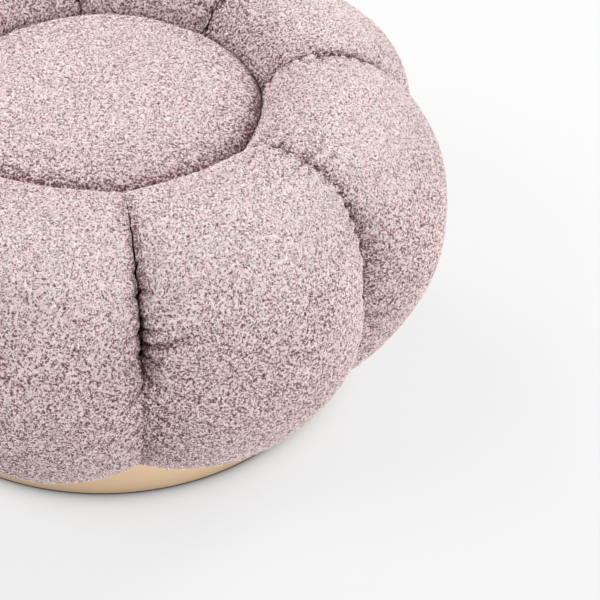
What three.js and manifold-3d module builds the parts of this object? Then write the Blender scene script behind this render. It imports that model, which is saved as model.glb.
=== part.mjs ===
// A round footstool. Eight stuffed bouclé petals stand in a ring around a crowned seat pad, and all of
// them rest on a low round metal plinth. Millimetres, +Z up. The origin is the centre of the plinth's
// underside, and the middle of the first petal faces the front, -Y.
import * as THREE from "three";
import { mergeVertices } from "three/addons/utils/BufferGeometryUtils.js";
import Module from "manifold-3d";

// The ring of petals. Each petal is a fat sausage bent round a spine ring and pinched in at its seams.
const PETAL_COUNT = 8;
const OUTER_RADIUS = 400;
const SPINE_RADIUS = 241;
const INNER_BULGE = 83;
const CREST_HEIGHT = 394;
const SPINE_HEIGHT = 227;
const UNDERSIDE_HEIGHT = 22;
const SEAM_LIFT = 11;

// How square each quarter of a petal's section is: 2 is an ellipse, and more is squarer.
const SECTION = { crestOut: 2.4, crestIn: 2.14, underOut: 1.74, underIn: 2.2 };

// The share of the full section that a seam leaves, at the outside, at the crest and inner wall, and below.
const SEAM_SHARE = { out: 0.54, crest: 0.89, under: 0.97 };
const PLUMPNESS = 2.2;

// The petals were sewn by hand, so each seam lies a little off its even place, in degrees.
const SEAM_OFFSETS = [-0.5, 0.7, 1.8, -1.9, 0.9, -0.6, 0.5, 0];

// The seat pad fills the middle, from the plinth up to its crown.
const PAD_RADIUS = 187;
const PAD_RIM_HEIGHT = 357;
const PAD_CROWN = 16;
const PAD_CROWN_POWER = 3;
const PAD_ROLL_RADIUS = 10;

// The plinth stands on the floor, and the petals' undersides droop past its top edge.
const PLINTH_RADIUS = 276;
const PLINTH_HEIGHT = 60;
const PLINTH_EDGE = 1.5;

// Neighbours stand this far apart.
const GAP = 0.3;

// How finely the surfaces are divided.
const STEPS_ACROSS = 12;
const STEPS_AROUND = 40;
const PLINTH_SIDES = 96;
const CROWN_RINGS = 6;
const ROLL_STEPS = 3;

const BOUCLE = { color: 0xd2c2c2, roughness: 0.95, metalness: 0 };
const BRUSHED_GOLD = { color: 0xd3b899, roughness: 0.35, metalness: 0.9 };

const wasm = await Module();
wasm.setup();

function solidOf(geometry) {
  const bare = geometry.clone();
  bare.deleteAttribute("normal");
  bare.deleteAttribute("uv");
  const merged = mergeVertices(bare, 1e-4);
  const index = merged.index.array;
  const triangles = [];
  for (let i = 0; i < index.length; i += 3) {
    const [a, b, c] = index.slice(i, i + 3);
    if (a !== b && b !== c && c !== a) triangles.push(a, b, c);
  }
  return new wasm.Manifold(new wasm.Mesh({
    numProp: 3,
    vertProperties: new Float32Array(merged.attributes.position.array),
    triVerts: new Uint32Array(triangles),
  }));
}

function geometryOf(solid) {
  const { vertProperties, triVerts } = solid.getMesh();
  return indexedGeometry(vertProperties, triVerts);
}

function indexedGeometry(positions, faces) {
  const geometry = new THREE.BufferGeometry();
  geometry.setAttribute("position", new THREE.BufferAttribute(new Float32Array(positions), 3));
  geometry.setIndex(new THREE.BufferAttribute(new Uint32Array(faces), 1));
  geometry.computeVertexNormals();
  return geometry;
}

// The angle of the seam that ends a petal, from the front round towards +X.
function seamAngle(petal) {
  const turns = Math.floor(petal / PETAL_COUNT);
  const offset = SEAM_OFFSETS[petal - turns * PETAL_COUNT];
  return THREE.MathUtils.degToRad((360 / PETAL_COUNT) * (petal + 0.5) + offset);
}

function signedPower(value, power) {
  return Math.sign(value) * Math.abs(value) ** power;
}

// A point of a petal's skin. "across" runs from -1 at one seam to 1 at the next. "around" is the angle in
// the section, from outwards through the crest and the inner wall to the underside. "inset" moves the
// point towards the axis.
function petalPoint(petal, across, around, inset = 0) {
  const outward = Math.cos(around);
  const upward = Math.sin(around);
  const crest = outward > 0 ? SECTION.crestOut : SECTION.crestIn;
  const under = outward > 0 ? SECTION.underOut : SECTION.underIn;
  const squareness = upward > 0 ? crest : under;
  const reach = outward > 0 ? OUTER_RADIUS - SPINE_RADIUS : INNER_BULGE;
  const rise = upward > 0 ? CREST_HEIGHT - SPINE_HEIGHT : SPINE_HEIGHT - UNDERSIDE_HEIGHT;
  const fullness = (1 - Math.abs(across) ** PLUMPNESS) ** (1 / PLUMPNESS);
  const seamShare = SEAM_SHARE.out * Math.max(0, outward) ** 2
    + SEAM_SHARE.crest * (Math.max(0, upward) ** 2 + Math.max(0, -outward) ** 2)
    + SEAM_SHARE.under * Math.max(0, -upward) ** 2;
  const share = seamShare + (1 - seamShare) * fullness;
  const radius = SPINE_RADIUS + reach * signedPower(outward, 2 / squareness) * share;
  const height = SPINE_HEIGHT + rise * signedPower(upward, 2 / squareness) * share
    + SEAM_LIFT * (1 - fullness);
  const start = seamAngle(petal - 1);
  const end = seamAngle(petal);
  const halfGapAngle = GAP / 2 / radius;
  const angle = (start + end) / 2 + across * ((end - start) / 2 - halfGapAngle);
  const inner = radius - inset;
  return [inner * Math.sin(angle), -inner * Math.cos(angle), height];
}

// Steps across a petal lie closer together near its seams, where the skin turns in.
function acrossStep(step, steps) {
  return Math.sin(Math.PI * (step / steps - 0.5));
}

// One petal: a closed tube of sections, with a flat face at each seam.
function petalSkin(petal) {
  const positions = [];
  const faces = [];
  for (let column = 0; column <= STEPS_ACROSS; column++) {
    for (let row = 0; row < STEPS_AROUND; row++) {
      const around = (2 * Math.PI * row) / STEPS_AROUND;
      positions.push(...petalPoint(petal, acrossStep(column, STEPS_ACROSS), around));
    }
  }
  for (let column = 0; column < STEPS_ACROSS; column++) {
    for (let row = 0; row < STEPS_AROUND; row++) {
      const next = (row + 1) % STEPS_AROUND;
      const a = column * STEPS_AROUND + row;
      const b = column * STEPS_AROUND + next;
      const c = b + STEPS_AROUND;
      const d = a + STEPS_AROUND;
      faces.push(a, c, b, a, d, c);
    }
  }
  const lastColumn = STEPS_ACROSS * STEPS_AROUND;
  for (let row = 1; row < STEPS_AROUND - 1; row++) {
    faces.push(0, row, row + 1);
    faces.push(lastColumn, lastColumn + row + 1, lastColumn + row);
  }
  return indexedGeometry(positions, faces);
}

// The room inside the ring of petals: their inner walls moved in by the gap, closed above and below.
function hollowBetweenPetals() {
  const columns = PETAL_COUNT * STEPS_ACROSS;
  const rows = STEPS_AROUND / 2;
  const positions = [];
  const faces = [];
  for (let column = 0; column < columns; column++) {
    const petal = Math.floor(column / STEPS_ACROSS);
    const across = acrossStep(column % STEPS_ACROSS, STEPS_ACROSS);
    for (let row = 0; row <= rows; row++) {
      const around = Math.PI / 2 + (Math.PI * row) / rows;
      positions.push(...petalPoint(petal, across, around, GAP));
    }
  }
  const top = columns * (rows + 1);
  const bottom = top + 1;
  positions.push(0, 0, CREST_HEIGHT, 0, 0, UNDERSIDE_HEIGHT);
  for (let column = 0; column < columns; column++) {
    const here = column * (rows + 1);
    const beside = ((column + 1) % columns) * (rows + 1);
    for (let row = 0; row < rows; row++) {
      faces.push(here + row, here + row + 1, beside + row + 1);
      faces.push(here + row, beside + row + 1, beside + row);
    }
    faces.push(top, here, beside);
    faces.push(bottom, beside + rows, here + rows);
  }
  return indexedGeometry(positions, faces);
}

// A turned solid from a profile of [radius, height] points that starts and ends on the axis.
function turned(profile, sides) {
  const points = profile.map(([radius, height]) => new THREE.Vector2(radius, height));
  return new THREE.LatheGeometry(points, sides).rotateX(Math.PI / 2);
}

function padCrownHeight(radius) {
  return PAD_RIM_HEIGHT + PAD_CROWN * (1 - (radius / PAD_RADIUS) ** PAD_CROWN_POWER);
}

// How steeply the crown falls away at a radius.
function padCrownSlope(radius) {
  return (PAD_CROWN * PAD_CROWN_POWER * (radius / PAD_RADIUS) ** (PAD_CROWN_POWER - 1)) / PAD_RADIUS;
}

// The pad's turned form: a flat foot on the plinth, a plain side, a rolled rim and a crowned top.
function padForm() {
  const rollStart = PAD_RADIUS - PAD_ROLL_RADIUS;
  const startAngle = Math.atan(padCrownSlope(rollStart));
  const centreRadius = rollStart - PAD_ROLL_RADIUS * Math.sin(startAngle);
  const centreHeight = padCrownHeight(rollStart) - PAD_ROLL_RADIUS * Math.cos(startAngle);
  const side = centreRadius + PAD_ROLL_RADIUS;
  const profile = [[0, PLINTH_HEIGHT + GAP], [side + INNER_BULGE, PLINTH_HEIGHT + GAP]];
  profile.push([side + INNER_BULGE, SPINE_HEIGHT], [side, SPINE_HEIGHT]);
  for (let step = 0; step <= ROLL_STEPS; step++) {
    const angle = Math.PI / 2 + (startAngle - Math.PI / 2) * (step / ROLL_STEPS);
    profile.push([
      centreRadius + PAD_ROLL_RADIUS * Math.sin(angle),
      centreHeight + PAD_ROLL_RADIUS * Math.cos(angle),
    ]);
  }
  for (let ring = CROWN_RINGS - 1; ring >= 0; ring--) {
    const radius = (rollStart * ring) / CROWN_RINGS;
    profile.push([radius, padCrownHeight(radius)]);
  }
  return turned(profile, PLINTH_SIDES / 2);
}

// The plinth: a turned drum with its two outer edges eased. "grow" makes the room that the petals leave.
function plinthForm(grow = 0) {
  const radius = PLINTH_RADIUS + grow;
  const height = PLINTH_HEIGHT + grow;
  return turned([
    [0, -grow],
    [radius - PLINTH_EDGE, -grow],
    [radius, PLINTH_EDGE - grow],
    [radius, height - PLINTH_EDGE],
    [radius - PLINTH_EDGE, height],
    [0, height],
  ], PLINTH_SIDES);
}

function named(name, geometry, finish) {
  const mesh = new THREE.Mesh(geometry, new THREE.MeshStandardMaterial(finish));
  mesh.name = name;
  return mesh;
}

const group = new THREE.Group();
const plinthRoom = solidOf(plinthForm(GAP));
for (let petal = 0; petal < PETAL_COUNT; petal++) {
  const seated = solidOf(petalSkin(petal)).subtract(plinthRoom);
  group.add(named(`petal_${petal + 1}`, geometryOf(seated), BOUCLE));
}
const pad = solidOf(padForm()).intersect(solidOf(hollowBetweenPetals()));
group.add(named("seat_pad", geometryOf(pad), BOUCLE));
group.add(named("plinth", plinthForm(), BRUSHED_GOLD));

export default group;
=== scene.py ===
"""A round bouclé footstool, built as a Blender add-on that is run as a script.

Eight stuffed petals stand in a ring round a crowned seat pad, on a low gold plinth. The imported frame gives
the places, and every piece is made here as a mesh, in metres, in that frame.
"""
import math

import bpy
import numpy as np
from bpy.props import FloatProperty, FloatVectorProperty, IntProperty, PointerProperty
from mathutils import Euler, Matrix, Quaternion, Vector


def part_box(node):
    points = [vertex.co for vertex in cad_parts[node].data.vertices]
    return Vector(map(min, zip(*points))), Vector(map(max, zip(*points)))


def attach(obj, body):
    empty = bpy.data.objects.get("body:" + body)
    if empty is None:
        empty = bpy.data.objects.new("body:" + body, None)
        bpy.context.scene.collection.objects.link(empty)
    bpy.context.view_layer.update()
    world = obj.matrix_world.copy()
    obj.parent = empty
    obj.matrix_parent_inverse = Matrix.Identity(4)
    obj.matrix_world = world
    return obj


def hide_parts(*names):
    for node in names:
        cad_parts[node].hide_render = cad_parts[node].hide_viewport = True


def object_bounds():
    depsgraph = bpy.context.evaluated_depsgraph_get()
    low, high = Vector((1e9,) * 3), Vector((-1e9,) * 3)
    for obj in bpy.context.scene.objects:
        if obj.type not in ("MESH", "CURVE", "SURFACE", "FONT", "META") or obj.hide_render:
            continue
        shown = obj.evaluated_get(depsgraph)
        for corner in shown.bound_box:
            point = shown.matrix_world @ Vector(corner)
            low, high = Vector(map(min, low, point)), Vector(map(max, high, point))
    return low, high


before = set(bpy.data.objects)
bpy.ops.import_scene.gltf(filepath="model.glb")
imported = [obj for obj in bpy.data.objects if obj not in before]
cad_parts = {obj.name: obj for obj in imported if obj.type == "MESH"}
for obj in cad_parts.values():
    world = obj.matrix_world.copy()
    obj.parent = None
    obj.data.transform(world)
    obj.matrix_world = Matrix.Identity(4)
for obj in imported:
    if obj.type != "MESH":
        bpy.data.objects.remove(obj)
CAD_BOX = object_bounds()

bl_info = {
    "name": "Bouclé petal footstool",
    "version": (1, 0, 0),
    "blender": (4, 5, 0),
    "location": "View3D > Sidebar > Footstool",
    "description": "Builds a round footstool with stuffed bouclé petals, a seat pad and a gold plinth",
    "category": "Add Mesh",
}

PLINTH_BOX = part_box("plinth")
PETAL_COUNT = sum(name.startswith("petal_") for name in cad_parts)
BODY = "root"
MM = 0.001

# Each seam lies this many degrees off its even place, because the petals were sewn by hand.
SEAM_OFFSETS = (-0.5, 0.7, 1.8, -1.9, 0.9, -0.6, 0.5, 0.0)

# How square each quarter of a petal's section is: 2 is an ellipse, and more is squarer.
CREST_OUT, CREST_IN, UNDER_OUT, UNDER_IN = 2.4, 2.14, 1.74, 2.2

# The share of the full section that a seam leaves, outside, at the crest and inner wall, and below.
SEAM_OUT, SEAM_CREST, SEAM_UNDER = 0.54, 0.89, 0.97

# Angles in a petal's section: where the skin leaves the plinth's edge, is at its widest, goes under the seat
# pad's rim, and meets the plinth's top.
EDGE_ANGLE, WIDEST_ANGLE, RIM_ANGLE, FOOT_ANGLE = (math.radians(turn) for turn in (-76, 10, 138, 233))

# Angles in a petal's section between which its seams open from a tight groove to a slack V.
SOFT_FROM, SOFT_TO = math.radians(22), math.radians(-10)

# Columns and rows of each petal's shown skin. The photo is filled by petals 1 to 3, so they have the most.
SKIN_STEPS = ((176, 280), (206, 320), (196, 306), (160, 260), (140, 230), (136, 224), (136, 224), (144, 236))

# Rows of a petal's hidden skin: its inner wall under the seat pad's rim, and its foot on the plinth.
WALL_ROWS, FOOT_ROWS = 14, 6

# How finely a petal's skin is measured before it is divided evenly, across and round its section.
ACROSS_SAMPLES, AROUND_SAMPLES = 4000, 2000

# The gathers fade in and out over this many rows, at the two ends of a petal's shown skin.
FADE_ROWS = 12

# How many strands of yarn cross one cell of the noise that lays them out, and how thin they are.
STRANDS_PER_CELL = 1.75
STRAND_SHARPNESS = 6.0

# Each layer of yarn, from the broadest turns to single fibres: its share of the curl size, its share of the
# height, and how far its pattern is moved from the others. The mesh has the first ones, and the finest is
# left to the material.
YARN_LAYERS = ((1.15, 0.32, 0.0), (0.68, 0.36, 7.3), (0.38, 0.32, 11.9))
MESH_LAYERS = 2

# How far the patterns of the clumps and the swells are moved, and in which direction all patterns move.
CLUMP_SHIFT, SWELL_SHIFT = 5.2, 3.1
SHIFT_DIRECTION = (1.0, 0.7, 1.3)

# How much the clumps of curls count in the height that the colours follow: on the lit crest, and on the
# sides, where their pits show more painted shade.
CLUMP_TONE_LIT_CREST, CLUMP_TONE_SHADED_SIDES = 0.55, 1.6

# Painted light on the crest: how much higher the curls count there, so that fewer dark pits show between
# them.
CREST_LIGHT_LIFT = 0.1

# The height of the bump that adds the finest turns, as a share of the curl height.
BUMP_SHARE = 0.6

# A point of a petal that faces its seam's plane less than this share counts as facing it this much.
LEAST_FACING = 0.05

# Pits in the pile are full where a point has this much room before its neighbour, and shallower where it
# has less.
FULL_RELIEF_ROOM = 5 * MM

# Painted shade where a skin is tucked in against its neighbour: how much lower its curls count there, so that
# more dark pit shows, how far that reaches, and its share outside the stretch where it is full.
TUCK_SHADE = 0.28
TUCK_REACH = 7.5 * MM
SHALLOW_TUCK = 0.2

# A crease this deep takes the full painted shade, and a shallower one in proportion.
FULL_TUCK_DEPTH = 5 * MM

# Angles in a petal's section between which the painted shade at its seams turns full, from above and from
# below, and the shares of its shown rows between which painted shade falls on its inner wall under the pad's
# rim.
FULL_SEAM_SHADE = ((math.radians(104), math.radians(72)), (math.radians(-8), math.radians(12)))
INNER_WALL_SHADE = (0.96, 1.0)

# The least share of the greyer yarn, how much less of it and of the painted highlight on the tips shows on
# the shaded sides than on the lit crest, and the levels of the noise between which pinker places turn greyer.
LEAST_HEATHER, SIDE_SHADE_FADE = 0.55, 0.35
HEATHER_LEVELS = (0.38, 0.62)

# The painted light on the crest, as angles in a petal's section: its middle, and how far from it the painted
# shade of the sides takes over.
LIT_CREST_MIDDLE, LIT_CREST_REACH = math.radians(64), math.radians(36)

# How much of the sides' painted shade the middle of the seat pad takes, and the shares of its radius between
# which it takes it fully, on its rolled rim. Painted shade falls on its rim where this much room or less is
# left before the petals.
PAD_MIDDLE_SHADE = 0.45
PAD_RIM_SHADE_SHARES = (0.62, 0.95)
PAD_TUCK_REACH = 16 * MM

# The creases seen at the seam between petals 1 and 2, on the side of petal 1 and then of petal 2: where
# each starts, as an angle in the section in degrees, its length, depth and width in millimetres, and its
# slant, in millimetres up the petal for each millimetre away from the seam.
FRONT_CREASES = (
    (
        (58, 12, 2.5, 4, 0.2), (47, 14, 3.5, 4, 0.1), (27, 16, 3.5, 4, -0.1), (14, 20, 4.0, 5, -0.3),
        (-2, 26, 3.5, 5, -0.6), (-12, 34, 3.5, 5, -0.7), (-22, 38, 3.5, 5, -0.7), (-32, 40, 3.0, 5, -0.6),
        (-43, 34, 2.5, 5, -0.5), (-55, 30, 2.0, 5, -0.4),
    ),
    (
        (62, 10, 2.0, 4, 0.1), (50, 16, 4.5, 4, -0.3), (36, 12, 2.5, 4, 0.2), (29, 18, 5.0, 4, 0.1),
        (20, 56, 5.5, 5, 0.32), (13, 20, 5.0, 4, 0.0), (3, 26, 4.0, 5, -0.5), (-6, 38, 3.5, 5, -0.55),
        (-14, 46, 4.0, 5, -0.6), (-22, 34, 2.5, 4, -0.65), (-29, 50, 3.5, 6, -0.6), (-38, 40, 3.0, 5, -0.5),
        (-48, 34, 2.5, 5, -0.45), (-58, 30, 2.0, 5, -0.4),
    ),
)

# That seam, as the petals beside it, counted from 0, and the side of each: 0 at its start and 1 at its end.
FRONT_SEAM = ((0, 1), (1, 0))

# The creases at the other seams, from least to most: their starts, spacing and width as shares of the
# pucker spacing, their length and depth as shares of the pucker length and depth, and their slant. Where
# the seam is slack, they are longer by a share, and slant down.
FIRST_CREASE, CREASE_SPACING, CREASE_WIDTH = (0.3, 1.0), (0.6, 1.5), (0.2, 0.32)
CREASE_LENGTH, CREASE_DEPTH, CREASE_SLANT = (0.35, 0.8), (0.4, 1.0), (-0.2, 0.2)
SLACK_LENGTH, SLACK_SLANT = 0.4, -0.5

# The shares of a seam, from the plinth's edge, between which it turns slack on its way down.
SLACK_SEAM = (0.45, 0.3)

# The shares of a seam between which its walls begin and stop drawing back, how often that changes along it,
# its least share, how far from the seam it fades out, and its share at the seams that are seen less closely.
EASE_STARTS, EASE_STOPS = (0.38, 0.5), (0.9, 0.75)
RAGGED_STEP = 8 * MM
RAGGED_SPARE = 20 * MM
RAGGED_LEAST = 0.1
EASE_REACH = 12 * MM
FAR_EASE = 0.25

# The seeds that two neighbouring settings give lie this far apart, so that each petal has its own.
SEEDS_APART = 100

# The cloth simulation: the columns and shown rows of its coarse cover, its length in frames, how far it may
# move a point, and the settings of the cloth. Nothing shrinks, but without a shrink group the covers would
# settle a little otherwise.
COVER_COLUMNS, COVER_ROWS = 46, 120
SETTLE_FRAMES = 20
MOVE_CAP = 12 * MM
COVER_SETTINGS = {
    "quality": 5,
    "mass": 0.3,
    "vertex_group_mass": "held",
    "vertex_group_shrink": "held",
    "tension_stiffness": 15,
    "compression_stiffness": 15,
    "shear_stiffness": 5,
    "bending_stiffness": 0.2,
    "use_pressure": True,
}

# The seat pad: how fast its crown falls away, the spacing of its mesh, and the rows of its rolled rim, of the
# side close under that, and of the rest of the side.
PAD_CROWN_POWER = 3
CLOTH_STEP = 1.85 * MM
ROLL_STEPS = 20
RIM_ROWS = 6
SIDE_ROWS = 9

# The room that the pad's crown counts as having, where no petal stands over it.
OPEN_ROOM = 1.0

# How often the search for the petals' inner wall halves the stretch that it lies in.
HALVINGS = 30

# A loose loop is an open ring of this many points and this far round, of yarn with so many sides. Loops lean
# up to this angle, and their sizes differ between two shares.
LOOP_POINTS = 6
LOOP_SWEEP = math.radians(215)
YARN_SIDES = 3
LOOP_LEAN = 0.7
LOOP_SIZES = (0.75, 1.25)

# Loops stand only where a petal has this much room before its neighbour.
LOOP_ROOM = 2.5 * MM

# The plinth's drum: its sides, the steps of its eased edges, and the share of its radius where its two flat
# faces are divided.
PLINTH_SIDES = 256
EDGE_STEPS = 6
FACE_SHARE = 0.5

# The brushing of the gold: its cells for each radian round the drum and each metre up it, and the cells a
# metre of the cloudy tone under it. The darkest and palest shares of the gold's colour, and how much its
# roughness falls and rises with them.
BRUSH_ROUND, BRUSH_UP, CLOUD_SCALE = 3.0, 1800.0, 9.0
GOLD_SHARES = (0.93, 1.06)
SMOOTHER, ROUGHER = 0.05, 0.06

# The share of each of the gold's colours that is left in the painted contact shadow at its foot, and the
# share of that line's height that is dark all through.
FOOT_SHADE = (0.14, 0.13, 0.14)
FOOT_CORE = 0.4

# The finish of each material, by its shader's inputs.
BOUCLE_FINISH = {"Roughness": 0.95, "Specular IOR Level": 0.1, "Sheen Weight": 0.12, "Sheen Roughness": 0.5}
YARN_FINISH = {"Roughness": 0.9, "Specular IOR Level": 0.15, "Sheen Weight": 0.2, "Sheen Roughness": 0.5}
GOLD_FINISH = {"Metallic": 1.0}
WHITE = (1, 1, 1, 1)
FLOOR_FINISH = {"Roughness": 0.8, "Emission Color": WHITE}

# The floor is a square that reaches this many metres from the stool.
FLOOR_HALF_SIZE = 30.0

# The soft lights, in metres: their side, where they aim, and each one's place and the setting of its power.
LIGHT_SIDE = 1.5
LIGHT_AIM = (0.0, 0.0, 0.2)
LIGHTS = {
    "back_left": ((-2.0, 1.8, 2.4), "back_left_power"),
    "back_right": ((2.0, 1.8, 2.4), "back_right_power"),
    "front_left": ((-1.6, -1.4, 2.4), "front_left_power"),
    "low_right": ((2.4, -1.4, 0.6), "low_right_power"),
}

# The width of the camera's sensor, in millimetres, as Blender counts it.
SENSOR_WIDTH = 36


def metres(name, description, default):
    """A length that a user would change, in metres and shown in the scene's unit."""
    return FloatProperty(
        name=name, description=description, default=default, min=0, unit="LENGTH", precision=4
    )


def millimetres(name, description, default):
    """A length that is given in millimetres and kept in metres."""
    return metres(name, description, default * MM)


def radians(name, description, default):
    """An angle that a user would change, in radians and shown in degrees."""
    return FloatProperty(name=name, description=description, default=default, subtype="ANGLE")


def fraction(name, description, default, low=0.0):
    """A share of up to 1 that a user would change."""
    return FloatProperty(
        name=name, description=description, default=default, min=low, max=1, subtype="FACTOR"
    )


def number(name, description, default, low=0.0):
    """A plain number that a user would change."""
    return FloatProperty(name=name, description=description, default=default, min=low)


def watts(name, description, default):
    """The power of a light."""
    return FloatProperty(name=name, description=description, default=default, min=0, unit="POWER")


def colour(name, description, default):
    """A colour that a user would change."""
    return FloatVectorProperty(
        name=name, description=description, default=default, subtype="COLOR", min=0, max=1
    )


class FootstoolForm(bpy.types.PropertyGroup):
    """The stool's driving sizes."""

    outer_radius: metres(
        "Outer radius", "From the axis to the fullest point of a petal", (CAD_BOX[1].x - CAD_BOX[0].x) / 2
    )
    crest_height: metres("Crest height", "From the floor to the top of a petal", CAD_BOX[1].z)
    spine_radius: millimetres("Spine radius", "From the axis to the ring under the crests", 241)
    spine_height: millimetres("Spine height", "From the floor to a petal's widest level", 227)
    inner_bulge: millimetres("Inner bulge", "How far a petal reaches in from the spine", 83)
    underside_height: millimetres("Underside height", "From the floor to a petal's lowest line", 22)
    seam_lift: millimetres("Seam lift", "How much higher a petal sits at its seams", 11)
    plumpness: number("Plumpness", "How full a petal stays towards its seams", 2.2, low=1.0)
    shallow_under: fraction("Shallow under", "How much shallower the seams' grooves are low down", 0.45)
    slack_crest: fraction(
        "Slack crest", "How openly the petals leave their seams at the crest and inside", 0.44, low=0.4
    )
    slack_under: fraction(
        "Slack under", "How openly the petals leave their seams low down: 1 is a plain V", 0.95, low=0.4
    )
    pad_radius: millimetres("Pad radius", "Radius of the seat pad", 187)
    pad_rim_height: millimetres("Pad rim height", "From the floor to the pad's rim", 357)
    pad_crown: millimetres("Pad crown", "How much the pad rises to its middle", 16)
    pad_roll: millimetres("Pad roll", "Radius of the pad's rolled rim", 26)
    plinth_radius: metres("Plinth radius", "Radius of the drum that the stool stands on", PLINTH_BOX[1].x)
    plinth_height: metres("Plinth height", "Height of the drum, most of it hidden", PLINTH_BOX[1].z)
    plinth_edge: millimetres("Plinth edge", "Radius of the drum's eased edges", 1.5)
    gap: millimetres("Gap", "Clearance between neighbours", 0.3)


class FootstoolCloth(bpy.types.PropertyGroup):
    """The bouclé: its relief, its yarn, its gathers and its colours."""

    curl_size: millimetres("Curl size", "Distance between neighbouring turns of yarn", 4.8)
    curl_height: millimetres("Curl height", "How far the turns of yarn stand above the pits", 3.0)
    clump_size: millimetres("Clump size", "Distance between thicker and thinner places", 3.0)
    clump_height: millimetres("Clump height", "How far thick places stand above thin ones", 3.4)
    swell_size: millimetres("Swell size", "Distance between the stuffing's full and slack places", 110)
    swell_height: millimetres("Swell height", "How far full places stand above slack ones", 7.0)
    loop_count: number("Loose loops", "How many loose loops stand on a square metre", 2780.0)
    loop_radius: millimetres("Loop radius", "Radius of a loose loop", 1.9)
    yarn_radius: millimetres("Yarn radius", "Radius of the yarn in a loose loop", 0.6)
    pit_level: fraction("Pit level", "Height, from 0 to 1, under which the pits' colour shows", 0.16)
    yarn_level: fraction("Yarn level", "Height, from 0 to 1, over which only yarn shows", 0.55)
    tip_level: fraction("Tip level", "Height, from 0 to 1, over which the yarn is at its palest", 0.92)
    pucker_depth: millimetres("Pucker depth", "Depth of the creases that a gathered seam draws in", 3.6)
    pucker_spacing: millimetres("Pucker spacing", "Distance between creases along a seam", 19)
    pucker_length: millimetres("Pucker length", "How far a crease runs into the petal", 46)
    seam_ease: millimetres("Seam ease", "How far a petal's wall draws back from its seam's plane", 1.2)
    pressure: number("Stuffing pressure", "Pressure of the stuffing on the simulated cover", 4.0)
    # The tips' colour is paler yarn and a painted highlight on the highest turns.
    tip_and_highlight_colour: colour("Tips", "Colour of the yarn where it stands highest", (0.98, 0.86, 0.86))
    yarn_colour: colour("Yarn", "Colour of the turns of yarn", (0.975, 0.708, 0.718))
    heather_colour: colour("Heather", "Colour of the greyer yarn spun in with it", (0.845, 0.74, 0.738))
    # The pits' colour is the darker ground between the turns and painted shade in the pits.
    pit_and_shade_colour: colour("Pits", "Colour between the turns of yarn", (0.17, 0.055, 0.066))
    heather_size: millimetres("Heather size", "Distance between pinker and greyer places", 11)
    seed: IntProperty(name="Seed", description="Shuffles the gathers and the loose loops", default=4)


class FootstoolMetal(bpy.types.PropertyGroup):
    """The plinth's sheet metal."""

    gold_colour: colour("Gold", "Colour of the brushed sheet", (0.82, 0.61, 0.405))
    roughness: fraction("Roughness", "How matt the brushed sheet is", 0.48)
    brush_depth: millimetres("Brush depth", "Depth of the fine lines round the drum", 0.02)
    # The dark line at the drum's foot is a painted contact shadow.
    shade_height: millimetres("Foot shade", "Height of the dark line where the drum meets the floor", 3.5)


class FootstoolStudio(bpy.types.PropertyGroup):
    """The camera, the floor and the lights."""

    camera_azimuth: radians(
        "Camera azimuth", "Where the camera stands, from the front round towards +X", math.radians(17.05)
    )
    camera_heading: radians(
        "Camera heading", "How far the view turns from looking along +Y", math.radians(9.9)
    )
    camera_distance: metres("Camera distance", "Level distance from the stool's axis", 1.8677)
    camera_height: metres("Camera height", "Above the floor", 1.6212)
    camera_pitch: radians("Camera pitch", "How far it looks down", 0.6969)
    camera_roll: radians("Camera roll", "Turn about its own axis", 0.0408)
    camera_lens: number("Lens", "Focal length on a 36 mm sensor", 118.7, low=1.0)
    room_strength: number("Room strength", "Brightness of the white room round the stool", 0.37)
    back_left_power: watts("Back left light", "Power of the soft light behind on the left", 91.0)
    back_right_power: watts("Back right light", "Power of the soft light behind on the right", 73.0)
    front_left_power: watts("Front left light", "Power of the soft light in front on the left", 58.0)
    low_right_power: watts("Low right light", "Power of the soft light low down on the right", 56.0)
    floor_colour: colour("Floor", "Colour of the seamless floor", (0.12, 0.12, 0.121))
    # The floor glows to stay evenly bright, and the soft shade round the drum's foot is a painted shadow in
    # that glow.
    floor_glow: number("Floor glow", "How brightly the floor is lit through from below", 0.73)
    shade_reach: millimetres("Shade reach", "How far the soft shade round the drum's foot reaches", 9.5)
    shade_depth: fraction("Shade depth", "Share of the floor's glow that is lost at the drum's foot", 0.75)


def seam_angle(petal):
    """The angle of the seam that ends a petal, counted from 0, from the front round towards +X."""
    offset = SEAM_OFFSETS[petal % PETAL_COUNT]
    return math.radians(360 / PETAL_COUNT * (petal + 0.5) + offset)


def signed_power(value, power):
    """A power of the value's size, with the value's own sign."""
    return np.sign(value) * np.abs(value) ** power


def smooth_step(value, start, end):
    """0 before the start and 1 past the end, with a smooth rise between. The end may be the lower one."""
    share = ((value - start) / (end - start)).clip(0, 1)
    return share * share * (3 - 2 * share)


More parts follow.
